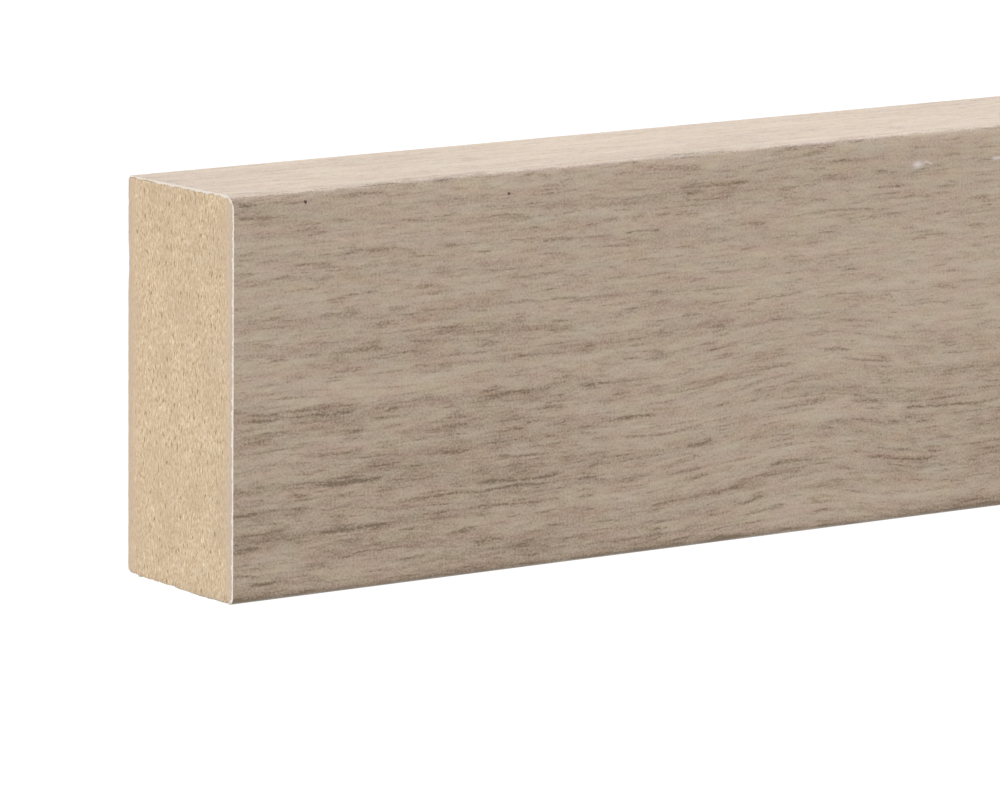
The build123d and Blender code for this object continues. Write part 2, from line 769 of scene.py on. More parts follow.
@dataclass(frozen=True)
class PinKnots:
    """The printed pin knots near the sawn end: each one's place along the batten, its depth and its ink."""

    knots: tuple[tuple[float, float, float], ...] = ((8.5, 1.15, 1.4), (33.0, 2.25, 1.3), (82.0, 16.7, 0.35))
    radius: float = 0.23
    core: float = 0.05
    ragged: Cloud = Cloud((0.3, 0.22), layers=1.0, seed=8.3)
    ragged_reach: float = 0.35

    def mask(self, board: Board, along: Socket, depth: Socket) -> Socket:
        """How dark the knots are: their ink in each knot's core, fading to 0 at its ragged outline.

        Noise is added to the distance from each knot's centre, so that none is quite round.

        Args:
            board: the material's board.
            along: the place along the batten.
            depth: its depth on the print.

        Returns:
            The knots' ink.
        """
        place = board.join(along, depth)
        ragged = board.noise(place, self.ragged)
        darkest: Feed = 0.0
        for *knot, ink in self.knots:
            feeds = {0: place, 1: (*knot, 0.0)}
            distance = board.node("VectorMath", feeds, operation="DISTANCE").outputs["Value"]
            distance = board.total(distance, (ragged, self.ragged_reach))
            here = board.span(distance, self.radius, self.core, 0.0, ink)
            darkest = board.calc("MAXIMUM", here, darkest)
        return darkest


@dataclass(frozen=True)
class Rub:
    """A thin rubbed line. The run is where it starts, is full, starts to fade and ends along the batten."""

    run: Run
    depth: float
    reach: float
    strength: float

    def mask(self, board: Board, along: Socket, depth: Socket) -> Socket:
        """How rubbed a place is, from 0 to the strength."""
        full = board.product(board.plateau(along, *self.run), self.strength)
        return board.product(full, board.hump(depth, self.depth, self.reach))


@dataclass(frozen=True)
class Scuffs:
    """The two pale scuffs near the upper edge: a smudge with a thin arched tail, and a short rub."""

    smudge_centre: Pair = (85.2, 3.3)
    smudge_reach: Pair = (1.0, 0.6)
    tail: Rub = Rub((85.5, 85.9, 86.8, 87.4), 3.35, 0.25, 0.6)
    tail_crest: float = 86.3
    tail_crest_reach: float = 0.8
    tail_rise: float = 0.25
    rub: Rub = Rub((94.9, 95.5, 97.0, 98.0), 3.4, 0.35, 0.8)
    patches: Spots = Spots(Cloud((0.4, 0.3), seed=1.7), -0.25, 0.0, low=0.5)

    def mask(self, board: Board, along: Socket, depth: Socket) -> Socket:
        """How scuffed a place is. The smudge is a hump both ways, and noise thins all the marks in spots.

        Args:
            board: the material's board.
            along: the place along the batten.
            depth: its depth on the print.

        Returns:
            The scuffs' share, from 0 to 1.
        """
        (centre, centre_depth), (reach, reach_down) = self.smudge_centre, self.smudge_reach
        smudge = board.product(board.hump(along, centre, reach), board.hump(depth, centre_depth, reach_down))
        crest = board.hump(along, self.tail_crest, self.tail_crest_reach)
        tail = self.tail.mask(board, along, board.total(depth, (crest, self.tail_rise)))
        rub = self.rub.mask(board, along, depth)
        patches = board.spots(board.join(along, depth), self.patches)
        marks = board.calc("MAXIMUM", smudge, board.calc("MAXIMUM", tail, rub))
        return board.product(marks, patches)


@dataclass(frozen=True)
class GrainFlow:
    """How the grain lines run: with one arch low down near the sawn end, and slow waves farther along."""

    arch: Run = (50.0, 71.0, 73.0, 87.0)
    arch_rise: float = 1.3
    arch_depth: Pair = (12.0, 21.0)
    waves: Cloud = Cloud((90.0, 45.0), layers=1.0)
    wave_height: float = 9.0
    wave_fade: float = 30.0

    def line_through(self, board: Board, along: Socket, depth: Socket) -> Socket:
        """Finds the grain line through a place, by adding the arch and the waves to the place's own depth.

        Args:
            board: the material's board.
            along: the place along the batten.
            depth: its depth on the print.

        Returns:
            The line's depth where it runs level.
        """
        arch = board.product(board.plateau(along, *self.arch), self.arch_rise)
        low_down = board.span(depth, *self.arch_depth)
        past = board.span(along, MARKED_LENGTH, MARKED_LENGTH + self.wave_fade)
        waves = board.noise(board.join(along, depth), self.waves)
        return board.total(depth, (arch, low_down), (board.product(waves, past), self.wave_height))


@dataclass(frozen=True)
class DecorPrint:
    """The foil's printed face: pale brown oak grain with short dark dashes, gentle arches and speckle.

    The tones are blended by a value from 0 to 1. It is the middle level plus grain of several sizes, speckle
    and a slow drift along the batten, less the ink, a painted shade towards the face's lower edge and a
    painted shade line on each arris. On the upper narrow edge the print is made plainer and its ink paler, as
    a painted sheen. The pin knots are darkened once more.
    """

    half_width: float
    dashes: InkDashes = InkDashes()
    knots: PinKnots = PinKnots()
    scuffs: Scuffs = Scuffs()
    flow: GrainFlow = GrainFlow()
    deep: Tone = Tone(116, 99, 79)
    dark: Tone = Tone(153, 133, 114)
    middle: Tone = Tone(176, 157, 138)
    light: Tone = Tone(193, 175, 155)
    scuffed: Tone = Tone(219, 207, 204)
    knotty: Tone = Tone(60, 44, 30)
    level: float = 0.625
    fine: Cloud = Cloud((2.2, 0.46), roughness=0.6, twist=0.3)
    streaks: Cloud = Cloud((18.0, 1.3), layers=3.0, roughness=0.55, seed=5.5)
    bands: Cloud = Cloud((50.0, 4.0), seed=9.1)
    clouds: Cloud = Cloud((30.0, 14.0), layers=1.0, seed=3.3)
    speckle: Cloud = Cloud((0.25, 0.22), layers=1.0)
    edge_specks: Cloud = Cloud((0.9, 0.35), layers=1.0, seed=4.7)
    dots: Spots = Spots(Cloud((0.5, 0.2), seed=2.4), -0.2, 0.1, low=0.25)
    pores: Spots = Spots(Cloud((4.2, 0.42), roughness=0.4, seed=8.2), 0.07, 0.24, high=0.75)
    soft_pores: Spots = Spots(Cloud((9.0, 0.5), seed=1.9), 0.1, 0.28, high=0.35)
    tint: Cloud = Cloud((6.0, 1.3), layers=3.0, seed=6.6)
    yellow: Cloud = Cloud((5.0, 1.6), layers=3.0, seed=11.7)
    marked: Pair = (94.0, 104.0)
    marked_pores: float = 0.7
    upper_edge: Pair = (0.5, -2.5)
    # Where the painted shade towards the face's lower edge starts and is full, in depth.
    low_down: Pair = (15.0, 33.0)
    # The painted shade bands on the upper and the lower arris, in depth.
    upper_arris_shade: Pair = (0.1, 0.5)
    lower_arris_shade: Run = (38.7, 40.1, 40.4, 41.2)
    relief_depth: float = 0.003

    def ink(self, board: Board, along: Socket, grain: Socket) -> Socket:
        """The ink of the grain at a place, from 0 to 1.

        The pores are where stretched noise is high. The finer ones are broken into dots, and are fainter
        where the dashes are marked one by one.

        Args:
            board: the material's board.
            along: the place along the batten.
            grain: the depth of the grain line through it.

        Returns:
            The darkest of the dashes and the pores.
        """
        place = board.join(along, grain)
        free = board.span(along, *self.marked, self.marked_pores)
        dotted, pores = board.spots(place, self.dots), board.spots(place, self.pores)
        pores = board.product(pores, board.product(dotted, free))
        soft_pores = board.spots(place, self.soft_pores)
        dashes = self.dashes.mask(board, along, grain)
        return board.calc("MAXIMUM", dashes, board.calc("MAXIMUM", pores, soft_pores))

    def material(self) -> bpy.types.Material:
        """Makes the printed face's material, on the foil's flat map, so that it runs round the arrises.

        Returns:
            The material.
        """
        material, board = new_material("decor_print")
        wrapped = board.place_on_foil()
        along, across, _ = board.split(wrapped)
        depth = board.calc("SUBTRACT", self.half_width, across)
        grain = self.flow.line_through(board, along, depth)
        ink, knots = self.ink(board, along, grain), self.knots.mask(board, along, depth)
        ink = board.calc("MAXIMUM", ink, knots)
        place = board.join(along, grain)
        fine, streaks = board.noise(place, self.fine), board.noise(place, self.streaks)
        bands, clouds = board.noise(place, self.bands), board.noise(board.join(along, depth), self.clouds)
        speckle, tint = board.noise(wrapped, self.speckle), board.noise(place, self.tint)
        # Painted sheen: on the upper narrow edge the print's broad grain is made plainer and its ink paler.
        on_edge = board.span(depth, *self.upper_edge)
        sheen_plainer, sheen_paler = board.total(1.0, (on_edge, -0.32)), board.total(1.0, (on_edge, -0.1))
        broad = board.product(board.total(0.0, (streaks, 0.53), (bands, 0.45), (clouds, 0.25)), sheen_plainer)
        edge_specks = board.product(board.noise(place, self.edge_specks), on_edge)
        # Painted shade: the print darkens towards the face's lower edge. The drift is also darker near the
        # sawn end and lighter from 90 mm on.
        low_down = board.span(depth, *self.low_down)
        drift = board.total(board.span(along, 0.0, 90.0, -0.035, 0.025), (low_down, -0.145))
        # Painted shade: the print is darkened in a band on each arris, where the face turns away from the
        # light.
        upper, lower = board.hump(depth, *self.upper_arris_shade), board.plateau(depth, *self.lower_arris_shade)
        tone = board.total(self.level, (fine, 0.58), (broad, 1.0), (speckle, 0.69), (tint, -0.3))
        tone = board.total(tone, (edge_specks, 0.5), (drift, 1.0), (upper, -0.2), (lower, -0.45))
        tone = board.total(tone, (board.product(ink, sheen_paler), -0.61))
        stops = [(0.0, self.deep.linear), (0.28, self.dark.linear), (0.56, self.middle.linear),
                 (0.95, self.light.linear)]
        yellow = board.noise(place, self.yellow)
        warmth = board.join(board.total(1.0, (tint, 0.1), (on_edge, 0.022)),
                            board.total(1.0, (tint, -0.1), (on_edge, 0.014)),
                            board.total(1.0, (tint, -0.05), (yellow, -0.2)))
        colour = board.shaded(board.ramp(tone, stops), warmth)
        colour = board.mix(board.product(knots, 0.75), colour, self.knotty.linear)
        colour = board.mix(self.scuffs.mask(board, along, depth), colour, self.scuffed.linear)
        height = board.total(0.0, (speckle, 1.0), (ink, -0.5))
        roughness = board.total(0.37, (fine, 0.2), (ink, 0.12))
        board.surface(colour, roughness, board.relief(height, self.relief_depth), specular=0.5)
        return material


@dataclass(frozen=True)
class FoilCutEdge:
    """The foil's white core where it is cut or torn, with the board's fibre smeared over its inner side.

    Each side is where its narrow edge starts and is full, across the batten. Below a height, the upper edge's
    line is thin. The line along the lower narrow edge is darkened as painted shade.
    """

    thin_below: float
    clean: Tone = Tone(238, 232, 224)
    soiled_and_shaded: Tone = Tone(214, 199, 180)
    fibre: Tone = Tone(196, 170, 140)
    printed: Tone = Tone(176, 158, 140)
    smear: float = 0.02
    print_from: float = 0.19
    blur: float = 0.02
    upper_side: Pair = (19.0, 19.3)
    lower_side: Pair = (-19.55, -19.85)
    thin_fade: float = 1.5
    stretches: Spots = Spots(Cloud((0.9, 0.9, 0.9), layers=3.0, roughness=0.6), 0.05, 0.26)
    bites: Cloud = Cloud((0.5, 1.0), layers=3.0, roughness=0.7, seed=5.0)
    ragged: Cloud = Cloud((0.12, 0.12, 0.12), seed=2.0)

    def material(self) -> bpy.types.Material:
        """Makes it white with short soiled stretches, fibre along its inner side and print along its outer.

        Returns:
            The material.
        """
        material, board = new_material("foil_cut_edge")
        place = board.place_in_batten()
        _, across, up = board.split(place)
        inner, girth, _ = board.split(board.place_on_foil())
        stretches = board.spots(place, self.stretches)
        upper, lower = board.span(across, *self.upper_side), board.span(across, *self.lower_side)
        thin = board.product(upper, board.span(up, self.thin_below, self.thin_below - self.thin_fade))
        # Painted shade: the line along the lower narrow edge is darkened most, and the upper edge's line is
        # dulled a little. The stretches are soil.
        dulled_and_shaded = board.total(0.0, (lower, 0.9), (upper, 0.3), (thin, 0.1))
        soil_and_shade = board.calc("MAXIMUM", stretches, dulled_and_shaded)
        bites = board.noise(board.join(girth, 0.0), self.bites)
        reach = board.total(self.smear, (bites, 0.45), (thin, 0.02))
        fibre = board.span(board.calc("SUBTRACT", inner, reach), self.blur, -self.blur)
        outer = board.span(inner, self.print_from, self.print_from + self.blur)
        colour = board.mix(soil_and_shade, self.clean.linear, self.soiled_and_shaded.linear)
        colour = board.mix(board.product(fibre, 0.9), colour, self.fibre.linear)
        colour = board.mix(outer, colour, self.printed.linear)
        ragged = board.noise(place, self.ragged)
        board.surface(colour, board.total(0.7, (ragged, 0.2)), board.relief(ragged, 0.02), specular=0.3)
        return material


@dataclass(frozen=True)
class FoilBacking:
    """The foil's plain back, which lies on the fibre board."""

    paper: Tone = Tone(226, 219, 207)
    glued: Tone = Tone(206, 192, 171)
    glue: Cloud = Cloud((7.0, 7.0, 7.0), layers=3.0)

    def material(self) -> bpy.types.Material:
        """Makes it off-white with soft glue mottle.

        Returns:
            The material.
        """
        material, board = new_material("foil_backing")
        glue = board.noise(board.place_in_batten(), self.glue)
        colour = board.mix(board.span(glue, -0.15, 0.2), self.paper.linear, self.glued.linear)
        board.surface(colour, board.total(0.75, (glue, 0.2)), board.relief(glue, 0.02), specular=0.3)
        return material


@dataclass(frozen=True)
class SawnFibre:
    """Fibre board as a saw leaves it: pale tan, with short pale and dark fibres and denser skins.

    It is greyer at the rim next to the foil, a painted shadow of the foil's bead, and darker next to the
    back.
    """

    thickness: float
    gap: Tone = Tone(152, 124, 90)
    dark_tan: Tone = Tone(193, 166, 132)
    tan: Tone = Tone(210, 187, 157)
    lit: Tone = Tone(224, 204, 176)
    pale: Tone = Tone(246, 234, 213)
    skin: Tone = Tone(209, 189, 169)
    # The grey of the painted shadow at the rim next to the foil.
    rim: Tone = Tone(192, 181, 175)
    back: Tone = Tone(192, 170, 145)
    skin_depth: Pair = (1.9, 0.2)
    foil_shadow_depth: float = 0.7
    back_depth: float = 1.6

    def material(self, look: bpy.types.NodeTree) -> bpy.types.Material:
        """Makes the sawn faces' material, from the shared look of fibre board.

        Args:
            look: the group of the shared look.

        Returns:
            The material.
        """
        material, board = new_material("sawn_fibre")
        place = board.place_in_batten()
        tone, mottle, relief = board.node("Group", {"Place": place}, node_tree=look).outputs
        up = board.split(place)[2]
        to_skin = board.calc("MINIMUM", up, board.calc("SUBTRACT", self.thickness, up))
        skin = board.span(board.total(to_skin, (mottle, 1.2)), *self.skin_depth)
        patchy = board.product(board.total(1.0, (skin, -0.35)), board.total(1.0, (mottle, 1.5)))
        fibres = board.total(0.5, (board.product(tone, patchy), 0.85), (mottle, 0.18))
        stops = [(0.0, self.gap.linear), (0.35, self.dark_tan.linear), (0.5, self.tan.linear),
                 (0.65, self.lit.linear), (1.0, self.pale.linear)]
        warmth = board.join(board.total(1.0, (mottle, 0.06)), 1.0, board.total(1.0, (mottle, -0.12)))
        colour = board.shaded(board.ramp(fibres, stops), warmth)
        colour = board.mix(board.product(skin, 0.45), colour, self.skin.linear)
        # Painted shadow: the fibre is greyed in a band next to the foil, as the foil's bead shades it.
        foil_shadow = board.span(up, self.thickness - self.foil_shadow_depth, self.thickness)
        colour = board.mix(board.product(foil_shadow, 0.45), colour, self.rim.linear)
        near_back = board.span(up, self.back_depth, 0.0)
        colour = board.mix(board.product(near_back, 0.4), colour, self.back.linear)
        board.surface(colour, board.total(0.82, (tone, 0.2)), board.relief(relief, 0.03), specular=0.25)
        return material


@dataclass(frozen=True)
class SandedFibre:
    """The batten's bare back and hidden sides: fibre board sanded smooth along its length."""

    tan: Tone = Tone(196, 171, 139)
    lines: Cloud = Cloud((120.0, 0.35, 0.35), seed=6.0)
    patches: Cloud = Cloud((40.0, 18.0, 18.0), seed=1.0)

    def material(self, look: bpy.types.NodeTree) -> bpy.types.Material:
        """Makes the sanded faces' material, from the shared look of fibre board with faint sanding lines.

        Args:
            look: the group of the shared look.

        Returns:
            The material.
        """
        material, board = new_material("sanded_fibre")
        place = board.place_in_batten()
        tone, mottle, _ = board.node("Group", {"Place": place}, node_tree=look).outputs
        lines, patches = board.noise(place, self.lines), board.noise(place, self.patches)
        light = board.total(1.0, (tone, 0.16), (mottle, 0.15), (lines, 0.2), (patches, 0.2))
        colour = board.shaded(self.tan.linear[:3], light)
        relief = board.relief(board.total(0.0, (lines, 1.0), (tone, 0.5)), 0.012)
        board.surface(colour, board.total(0.72, (lines, 0.2), (mottle, 0.1)), relief, specular=0.3)
        return material


@dataclass(frozen=True)
class Extent:
    """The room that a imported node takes, in millimetres."""

    low: Array
    high: Array

    @classmethod
    def of(cls, node: str) -> "Extent":
        """The room of the named node."""
        return cls(*(np.array(corner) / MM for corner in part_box(node)))


@dataclass
class DecorFoil:
    """The foil: its printed face, its cut edges at both ends and its plain backing.

    The cut edge stands a little proud of the board as an uneven bead. At the near end the foil is torn back
    along the lower narrow edge.
    """

    room: Extent
    thickness: float
    node: str = "decor_foil"
    slot: str = "wood_decor"
    lower_radius: float = 0.7
    upper_radius: float = 1.5
    pitch: float = 0.15
    columns: int = 5
    end_steps: tuple[float, ...] = (0.08, 0.3, 0.6, 1.1, 2.0, 3.5, 6.0, 12.0)
    inset: float = 0.02
    inset_unevenness: float = 0.015
    inset_pitch: float = 0.4
    inset_at_print: float = 0.02
    tear: tuple[Pair, ...] = (
        (0.2, 1.6), (1.2, 2.2), (6.0, 2.3), (8.0, 1.2), (10.0, 0.4), (17.0, 0.25), (17.3, 0.0),
    )
    tear_raggedness: tuple[Pair, ...] = ((0.25, 0.3), (0.2, 1.3))
    bead_swell: float = 0.3
    bead_unevenness: tuple[Pair, ...] = ((0.35, 1.1), (0.4, 0.4))
    upper_bead_loss: float = 0.25
    bead_limits: Pair = (-0.5, 0.8)
    thin_below: float = 4.6
    near_zone: float = 120.0
    far_zones: int = 4
    zone_gap: float = 0.006
    near_chart: Chart = Chart(0.004, 0.5, 0.8, 0.496)
    far_chart: Chart = Chart(0.004, 0.004, 0.992, 0.484)
    backing_chart: Chart = Chart(0.9, 0.5, 0.09, 0.496)
    foot_charts: tuple[tuple[str, Chart], ...] = (
        ("first_row", Chart(0.815, 0.5, 0.012, 0.496)), ("last_row", Chart(0.835, 0.5, 0.012, 0.496)),
    )
    cut_charts: tuple[tuple[str, Chart], ...] = (
        ("near", Chart(0.855, 0.5, 0.015, 0.496)), ("far", Chart(0.878, 0.5, 0.015, 0.496)),
    )

    @property
    def outline(self) -> Section:
        """The foil's outside."""
        return Section(self.room.high[1], self.room.low[2], self.room.high[2], self.lower_radius,
                       self.upper_radius)

    def wear(self, girth: Array, seed: int, torn: bool) -> Wear:
        """How an end's cut edge departs from a plain cut.

        Each place is set in by a little unevenness, more at the print, and on the lower narrow edge by the
        tear's ragged depth at that height. The inner side is moved inwards by the bead's swell in foil
        thicknesses, which is a mean plus broad and fine unevenness. On the upper narrow edge it is less, and
        least near the back, where the line is thin.

        Args:
            girth: places on the outline, one for each row.
            seed: starts the unevenness.
            torn: whether the lower narrow edge is torn back.

        Returns:
            The end's wear.
        """
        uneven = Unevenness(seed)
        _, up, normal_across, normal_up = self.outline.trace(girth)
        share = np.linspace(0, 1, self.columns)
        inset = self.inset + self.inset_unevenness * uneven.along(girth, self.inset_pitch)[:, None]
        inset = inset + self.inset_at_print * share ** 2
        heights, depths = zip(*self.tear)
        ragged = 1 + uneven.layers(girth, self.tear_raggedness)
        on_lower = girth < self.outline.face_start
        inset = inset + (np.interp(up, heights, depths) * ragged * on_lower * torn)[:, None]
        on_upper = girth > self.outline.upper_turned
        loss = self.upper_bead_loss * on_upper * (1 + np.clip(self.thin_below - up, 0, 1))
        bead = self.bead_swell - loss + uneven.layers(girth, self.bead_unevenness)
        inwards = self.thickness * bead.clip(*self.bead_limits)[:, None] * (1 - share)
        shift = -np.stack([normal_across[:, None] * inwards, normal_up[:, None] * inwards], -1)
        return Wear(inset, shift, self.end_steps[-1], np.full(inset.shape, self.end_steps[0]))

    def shape(self) -> Stick:
        """Shapes the foil: rows run along its girth, and columns from its inner side out.

        Returns:
            The closed stick.
        """
        outline, length = self.outline, self.room.high[0] - self.room.low[0]
        girth = np.linspace(0, outline.whole, round(outline.whole / self.pitch) + 1)
        across, up, normal_across, normal_up = outline.trace(girth)
        depth = self.thickness * (1 - np.linspace(0, 1, self.columns))
        section = np.stack([across[:, None] - normal_across[:, None] * depth,
                            up[:, None] - normal_up[:, None] * depth], -1)
        borders = np.linspace(self.near_zone, length, self.far_zones + 1)
        stations = stations_along(length, self.end_steps, tuple(borders[:-1]))
        near, far = self.wear(girth, 11, True), self.wear(girth, 23, False)
        stick = Stick.between(section, self.room.low[0], stations, near, far)
        self.map(stick, girth, (0.0, *borders))
        return stick

    def map(self, stick: Stick, girth: Array, borders: tuple[float, ...]) -> None:
        """Lays the print's map, which is the foil unrolled, in metres, and the map to bake on.

        Args:
            stick: the foil.
            girth: the rows' places on the outline.
            borders: where the bake map's zones meet along the batten.
        """
        rise = girth[None, :] / self.outline.whole
        outer, inner = stick.sides["last_column"], stick.sides["first_column"]
        run = stick.wall()[:, outer.start:outer.stop + 1, 0] - self.room.low[0]
        unrolled = np.broadcast_to(girth - self.outline.middle, run.shape)
        stick.lay(WRAP_MAP, "wall", slice(0, None), outer, np.stack([run, unrolled], -1) * MM)
        far_charts = [self.far_chart.strip(i, self.far_zones, self.zone_gap) for i in range(self.far_zones)]
        for chart, start, stop in zip([self.near_chart, *far_charts], borders[:-1], borders[1:]):
            rings, share = stick.zone(start, stop)
            stick.lay(BAKE_MAP, "wall", rings, outer, chart.place(share, rise))
        rings, share = stick.zone(0.0, borders[-1])
        stick.lay(BAKE_MAP, "wall", rings, inner, self.backing_chart.place(1 - rise, share))
        thin = np.linspace(0, 1, self.columns)[None, :]
        across_cut = np.broadcast_to(thin * self.thickness, (len(girth), self.columns))
        along_cut = np.broadcast_to(girth[:, None] - self.outline.middle, across_cut.shape)
        cut, whole = np.stack([across_cut, along_cut], -1) * MM, slice(0, None)
        for side, chart in self.foot_charts:
            stick.lay(BAKE_MAP, "wall", rings, stick.sides[side], chart.place(thin, share))
        for end, chart in self.cut_charts:
            stick.lay(WRAP_MAP, end, whole, whole, cut)
            stick.lay(BAKE_MAP, end, whole, whole, chart.place(thin, rise.T))

    def build(self) -> bpy.types.Object:
        """Makes the foil and dresses it.

        Returns:
            The piece.
        """
        stick = self.shape()
        printed, cut, backing = range(3)
        stick.finishes["near"][:] = stick.finishes["far"][:] = stick.finishes["wall"][:] = cut
        stick.finishes["wall"][:, stick.sides["last_column"]] = printed
        stick.finishes["wall"][:, stick.sides["first_column"]] = backing
        looks = (DecorPrint(self.room.high[1]), FoilCutEdge(self.thin_below), FoilBacking())
        return stick.write("printed_foil", [look.material() for look in looks])


@dataclass
class FibreBoardCore:
    """The strip of fibre board: two sawn ends with a fine rough surface, and a plain sanded back.

    The near end's lower edge is chipped from the back to the middle of its thickness, and its back edge has
    a small dent.
    """

    room: Extent
    foil: DecorFoil
    look: bpy.types.NodeTree
    node: str = "mdf_core"
    slot: str = "mdf"
    pitch: float = 0.15
    end_steps: tuple[float, ...] = (0.15, 0.4, 0.8, 1.3, 1.9, 2.6, 5.0)
    inset: float = 0.014
    least_inset: float = 0.002
    relief: tuple[tuple[float, Pair], ...] = (
        (0.016, (0.6, 0.2)), (0.008, (1.6, 0.9)), (0.008, (6.0, 5.0)),
    )
    rim_step: float = 0.035
    rim_width: float = 0.35
    back_wear: float = 0.01
    back_pitch: float = 0.9
    back_fade: float = 0.45
    corner_wear: float = 0.05
    corner_fade: float = 0.4
    corner_inwards: float = 1.2
    upper_corner_share: float = 0.15
    dent_depth: float = 0.12
    dent_place: float = 11.4
    dent_half_width: float = 1.6
    chip: tuple[Pair, ...] = (
        (0.0, 0.37), (2.0, 0.29), (5.0, 0.2), (7.6, 0.15), (8.6, 0.04), (10.0, 0.0),
    )
    chip_corner: float = 0.17
    chip_corner_fade: float = 0.3
    chip_raggedness: float = 0.05
    chip_pitch: float = 0.6
    ragged_from: float = 0.02
    chip_spread: float = 3.0
    wear_reach: float = 0.8
    chip_reach: float = 4.25
    back_zones: int = 6
    zone_gap: float = 0.006
    end_charts: tuple[tuple[str, Chart], ...] = (
        ("near", Chart(0.01, 0.43, 0.253, 0.562)), ("far", Chart(0.28, 0.43, 0.253, 0.562)),
    )
    back_chart: Chart = Chart(0.004, 0.004, 0.992, 0.414)
    front_chart: Chart = Chart(0.55, 0.43, 0.44, 0.2)
    lower_chart: Chart = Chart(0.55, 0.65, 0.44, 0.17)
    upper_chart: Chart = Chart(0.55, 0.84, 0.44, 0.15)
    torn_room: float = 0.1

    @property
    def outline(self) -> Section:
        """The strip's outside, with arrises that fit inside the foil's.

        Returns:
            The outline, in which the strip's own back is the foot.
        """
        foil = self.foil
        return Section(self.room.high[1], self.room.low[2], self.room.high[2],
                       foil.lower_radius - foil.thickness, foil.upper_radius - foil.thickness)

    def wear(self, across: Array, up: Array, crown: Array, seed: int, chipped: bool) -> Wear:
        """How an end departs from a plain square cut.

        Each place is set in by three layers of unevenness, and by up to a small step at the rim, which falls
        off as the square of the distance from it. The back edge is lifted by its wear, its dent and its
        corners' wear, all of which fade exponentially with the height. The lower edge is moved inwards by
        the chip's ragged depth at that height, and less and less up to the chip's spread.

        Args:
            across: each node's place across.
            up: its height above the back.
            crown: the outline's height at that place across.
            seed: starts the unevenness.
            chipped: whether the lower edge is chipped and the back edge dented.

        Returns:
            The end's wear.
        """
        uneven, half = Unevenness(seed), self.outline.half_width
        rim = np.minimum(crown - up, half - abs(across))
        relief = sum(depth * uneven.over(across, up, pitch) for depth, pitch in self.relief)
        step = self.rim_step * (1 - rim / self.rim_width).clip(0) ** 2
        inset = (self.inset + relief).clip(self.least_inset) + step
        near_back = np.exp(-up / self.back_fade)
        corner = self.corner_wear * np.exp(-(half - abs(across)) / self.corner_fade)
        corner = corner * np.where(across > 0, self.upper_corner_share, 1.0)
        from_dent = (across - self.dent_place) / self.dent_half_width
        dent = self.dent_depth * np.exp(-from_dent ** 4) * chipped
        lift = (self.back_wear * (1 + uneven.along(across, self.back_pitch)) + dent + corner) * near_back
        heights, depths = zip(*self.chip)
        depth = np.interp(up, heights, depths) + self.chip_corner * np.exp(-up / self.chip_corner_fade)
        ragged = self.chip_raggedness * uneven.along(up, self.chip_pitch) * (depth > self.ragged_from)
        spread = (1 - (across + half) / self.chip_spread).clip(0) ** 2
        chip = (depth + ragged).clip(0) * chipped * spread
        inwards = chip - np.sign(across) * self.corner_inwards * corner * near_back
        reach = self.wear_reach + self.chip_reach * chip
        return Wear(inset, np.stack([inwards, lift], -1), self.end_steps[-1], reach)

    def shape(self) -> Stick:
        """Shapes the strip: rows run across it, and columns up from its back.

        Returns:
            The closed stick.
        """
        outline, length = self.outline, self.room.high[0] - self.room.low[0]
        turned = outline.upper_turned - outline.lower_turn
        girth = outline.lower_turn + np.linspace(0, turned, round(turned / self.pitch) + 1)
        across, crown, _, _ = outline.trace(girth)
        share = np.linspace(0, 1, round(outline.crown / self.pitch) + 1)
        up = crown[:, None] * share
        across, crown = (np.broadcast_to(values[:, None], up.shape) for values in (across, crown))
        stations = stations_along(length, self.end_steps, tuple(self.borders(length)[1:-1]))
        near, far = self.wear(across, up, crown, 5, True), self.wear(across, up, crown, 17, False)
        stick = Stick.between(np.stack([across, up], -1), self.room.low[0], stations, near, far)
        self.map(stick, across, up)
        return stick

    def borders(self, length: float) -> Array:
        """Where the bake map's zones of the back meet, along the batten."""
        return np.linspace(0, length, self.back_zones + 1)

    def map(self, stick: Stick, across: Array, up: Array) -> None:
        """Lays the map to bake on, with extra room for the lower edge's near end, where the foil is torn.

        Args:
            stick: the strip.
            across: each end node's place across.
            up: its height above the back.
        """
        whole = slice(0, None)
        breadth, height = across / (2 * self.outline.half_width) + 0.5, up / self.outline.crown
        for end, chart in self.end_charts:
            stick.lay(BAKE_MAP, end, whole, whole, chart.place(height, breadth))
        length = self.room.high[0] - self.room.low[0]
        borders = self.borders(length)
        for number, (start, stop) in enumerate(zip(borders[:-1], borders[1:])):
            rings, share = stick.zone(start, stop)
            chart = self.back_chart.strip(number, self.back_zones, self.zone_gap)
            places = chart.place(share, 1 - breadth[::-1, 0][None, :])
            stick.lay(BAKE_MAP, "wall", rings, stick.sides["first_column"], places)
        rings, share = stick.zone(0.0, length)
        torn = np.clip(share * length / self.end_steps[-1], 0, 1)
        stretched = (share + self.torn_room * torn) / (1 + self.torn_room)
        front = self.front_chart.place(share, breadth[:, 0][None, :])
        lower = self.lower_chart.place(stretched, height[0][None, :])
        upper = self.upper_chart.place(share, height[-1][None, ::-1])
        for side, places in (("last_column", front), ("first_row", lower), ("last_row", upper)):
            stick.lay(BAKE_MAP, "wall", rings, stick.sides[side], places)

    def build(self) -> bpy.types.Object:
        """Makes the strip and dresses it.

        Returns:
            The piece.
        """
        stick = self.shape()
        sawn, sanded = range(2)
        stick.finishes["near"][:] = stick.finishes["far"][:] = sawn
        stick.finishes["wall"][:] = sanded
        looks = (SawnFibre(self.room.high[2]), SandedFibre())
        return stick.write("fibre_board_strip", [look.material(self.look) for look in looks])


